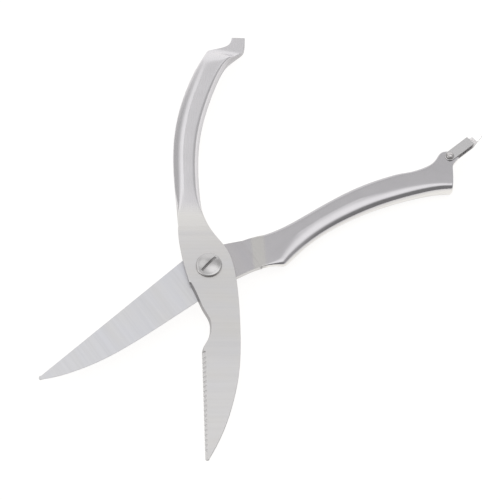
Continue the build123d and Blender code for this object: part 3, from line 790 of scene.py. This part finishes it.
bmesh.ops.remove_doubles(bm, verts=bm.verts, dist=merge_distance)
lips = [edge for edge in bm.edges if edge.calc_face_angle(0) > lip_angle
        and all(vert.co.z > head_seat + head_rim for vert in edge.verts)
        and {face.material_index for face in edge.link_faces} == {0}]
bmesh.ops.bevel(bm, geom=lips, offset=lip_easing, offset_type="OFFSET", segments=2,
                profile=0.5, affect="EDGES", clamp_overlap=False, material=-1)
for edge in bm.edges:
    edge.smooth = edge.calc_face_angle(0) < edge_angle
for face in bm.faces:
    face.smooth = True
bm.to_mesh(screw.data)
bm.free()
weigh_normals(screw)
fit(screw, "rear_half", "pivot_screw", "polished_steel")


# Pivot spring: drawn spring wire, wound round the barrel in a recess between the blades, with one
# leg in each. It winds up as the shears close, so the front leg and the arc that it pulls out of
# the coil ride on the front half. At rest this arc lies inside the coil's wire.

wire_radius = 0.35 * mm
spring_radius = 4.7 * mm
spring_leg = 6.0 * mm
spring_low = 3.85 * mm
spring_high = 5.55 * mm
spring_wind = radians(540)
drawn_arc = radians(62)
arc_share = 0.9
arc_step = radians(7.5)
wire_sides = 12


def bent_wire(name, thickness, side, height, wind, climb):
    """Round wire: a straight leg on one side of the pivot, then an arc about it that climbs."""
    bm = bmesh.new()
    across = Matrix.Translation((side, 0, height)) @ Matrix.Rotation(radians(90), 4, "X")
    bmesh.ops.create_circle(bm, radius=thickness, segments=wire_sides, matrix=across)
    ring = bm.edges[:]
    leg = bmesh.ops.extrude_edge_only(bm, edges=ring)["geom"]
    bmesh.ops.translate(bm, verts=[part for part in leg if isinstance(part, bmesh.types.BMVert)],
                        vec=(0, -spring_leg, 0))
    steps = round(abs(wind) / arc_step)
    arc = bmesh.ops.spin(bm, geom=ring, cent=(0, 0, 0), axis=(0, 0, 1), angle=wind, steps=steps,
                         dvec=(0, 0, climb / steps))["geom_last"]
    for end in (leg, arc):
        bmesh.ops.contextual_create(bm, geom=[part for part in end
                                              if isinstance(part, bmesh.types.BMEdge)])
    bmesh.ops.recalc_face_normals(bm, faces=bm.faces)
    for face in bm.faces:
        face.smooth = len(face.verts) == 4
    return new_piece(name, bm)


def drawn_wire():
    """Spring wire: grey, drawn smooth, and dull in fine spots."""
    material = bpy.data.materials.new("drawn_wire")
    add = node_adder(material)
    place = add("TexCoord").outputs["Object"]
    grain = add("TexNoise", {"Vector": place, "Scale": 1500.0, "Detail": 4.0})
    dull = add("MapRange", {"Value": grain.outputs["Fac"], "To Min": 0.25, "To Max": 0.5})
    steel = add("BsdfPrincipled", {"Base Color": (0.45, 0.45, 0.46, 1), "Metallic": 1.0,
                                   "Roughness": dull.outputs[0]})
    add("OutputMaterial", {"Surface": steel.outputs[0]})
    return material


wire_steel = drawn_wire()
spring_rise = spring_high - spring_low
coil = bent_wire("pivot_spring_coil", thickness=wire_radius, side=-spring_radius,
                 height=spring_low, wind=-spring_wind, climb=spring_rise)
fit(coil, "rear_half", "pivot_spring", "spring_steel", wire_steel)
front_leg = bent_wire("pivot_spring_front_leg", thickness=arc_share * wire_radius,
                      side=spring_radius, height=spring_high, wind=drawn_arc,
                      climb=-spring_rise * drawn_arc / spring_wind)
fit(front_leg, "front_half", "pivot_spring", "spring_steel", wire_steel)


# Latch: a strap of 0.7 mm stainless strip, bent round the nibs into a U, with a thumb lip turned
# up at its end. It swings on the rivet, and the CAD solid's edges are broken.

strip_turn = radians(-39.6)
strip_ahead = Matrix.Rotation(-strip_turn, 3, "Z") @ Vector((1, 0, 0))
strip_side = Matrix.Rotation(-strip_turn, 3, "Z") @ Vector((0, 1, 0))
strip_easing = 0.1 * mm
edge_shade_limits = (0.5, 0.8)
highlight_limits = (0.5, 0.7)
strip_colour = (0.68, 0.67, 0.675, 1)
painted_highlight = (0.95, 0.94, 0.94, 1)
edge_shade = (0.32, 0.31, 0.31, 1)


def strip_steel():
    """The strip: rolled smooth, with painted shade on the edges along both sides. The lip and the
    strap's end get a painted highlight."""
    material = bpy.data.materials.new("latch_strip")
    add = node_adder(material)
    place = add("TexCoord")
    turned = add("Mapping", {"Vector": place.outputs["Object"], "Rotation": (0, 0, strip_turn)})
    lines = streaks(add, turned, polish_pitch, polish_run, along_y=False)
    colour = strip_colour
    # Painted highlight on faces that point along the strap (the lip and the end), and painted shade on
    # faces that point sideways (the edges).
    for way, limits, other in ((strip_ahead, highlight_limits, painted_highlight),
                               (strip_side, edge_shade_limits, edge_shade)):
        facing = add("VectorMath", {0: place.outputs["Normal"], 1: way},
                     operation="DOT_PRODUCT").outputs["Value"]
        colour = mixed(add, between(add, magnitude(add, facing), limits), colour, other)
    dull = spread(add, lines.outputs["Fac"], 0.2, 0.28)
    relief = add("Bump", {"Height": lines.outputs["Fac"], "Strength": polish_strength,
                          "Distance": polish_relief})
    steel = add("BsdfPrincipled", {"Base Color": colour, "Metallic": 1.0, "Roughness": dull,
                                   "Normal": relief.outputs[0]})
    add("OutputMaterial", {"Surface": steel.outputs[0]})
    return material


latch = broken_edges("latch", strip_easing, level_only=False)
fit(latch, "latch", "latch", "satin_steel", strip_steel())


# Latch rivet: a stainless pin through the rear nib, with a low dome headed over on each side. A
# dark ring of painted shade runs round each dome.

rivet_centre = (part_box("latch_rivet")[0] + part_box("latch_rivet")[1]) / 2
rivet_radius = 1.4 * mm
rivet_seat = 2.7 * mm
rivet_head = 2.25 * mm
rivet_rim = 0.35 * mm
rivet_rise = 0.95 * mm
rivet_ease = 0.25 * mm
shade_ring_limits = (0.82 * rivet_head, 0.97 * rivet_head)


def headed_steel():
    """The rivet: bright where it was headed over, with a ring of painted shade round the dome."""
    material = bpy.data.materials.new("rivet_headed")
    add = node_adder(material)
    place = add("TexCoord").outputs["Object"]
    spot = add("Mapping", {"Vector": place, "Location": -rivet_centre})
    flat = add("VectorMath", {0: spot.outputs[0], 1: (1, 1, 0)}, operation="MULTIPLY")
    radius = add("VectorMath", {0: flat.outputs[0]}, operation="LENGTH").outputs["Value"]
    grain = add("TexNoise", {"Vector": place, "Scale": 1200.0, "Detail": 3.0})
    bright = (0.62, 0.60, 0.60, 1)
    painted_shade = (0.16, 0.15, 0.15, 1)
    # Painted shade: a dark ring round the dome, where it meets the plate.
    colour = mixed(add, between(add, radius, shade_ring_limits), bright, painted_shade)
    dull = spread(add, grain.outputs["Fac"], 0.16, 0.28)
    relief = add("Bump", {"Height": grain.outputs["Fac"], "Strength": 0.2,
                          "Distance": 0.02 * mm})
    steel = add("BsdfPrincipled", {"Base Color": colour, "Metallic": 1.0, "Roughness": dull,
                                   "Normal": relief.outputs[0]})
    add("OutputMaterial", {"Surface": steel.outputs[0]})
    return material


half_rivet = [(rivet_radius, 0), (rivet_radius, rivet_seat)] + domed_profile(
    rivet_seat, rivet_head, rivet_rim, rivet_rise, rivet_ease)
other_half = [(r, -z) for r, z in reversed(half_rivet[1:])]
rivet = turned_piece("latch_rivet_headed", other_half + half_rivet, steps=64)
rivet.data.transform(Matrix.Translation(rivet_centre))
fit(rivet, "rear_half", "latch_rivet", "polished_steel", headed_steel())
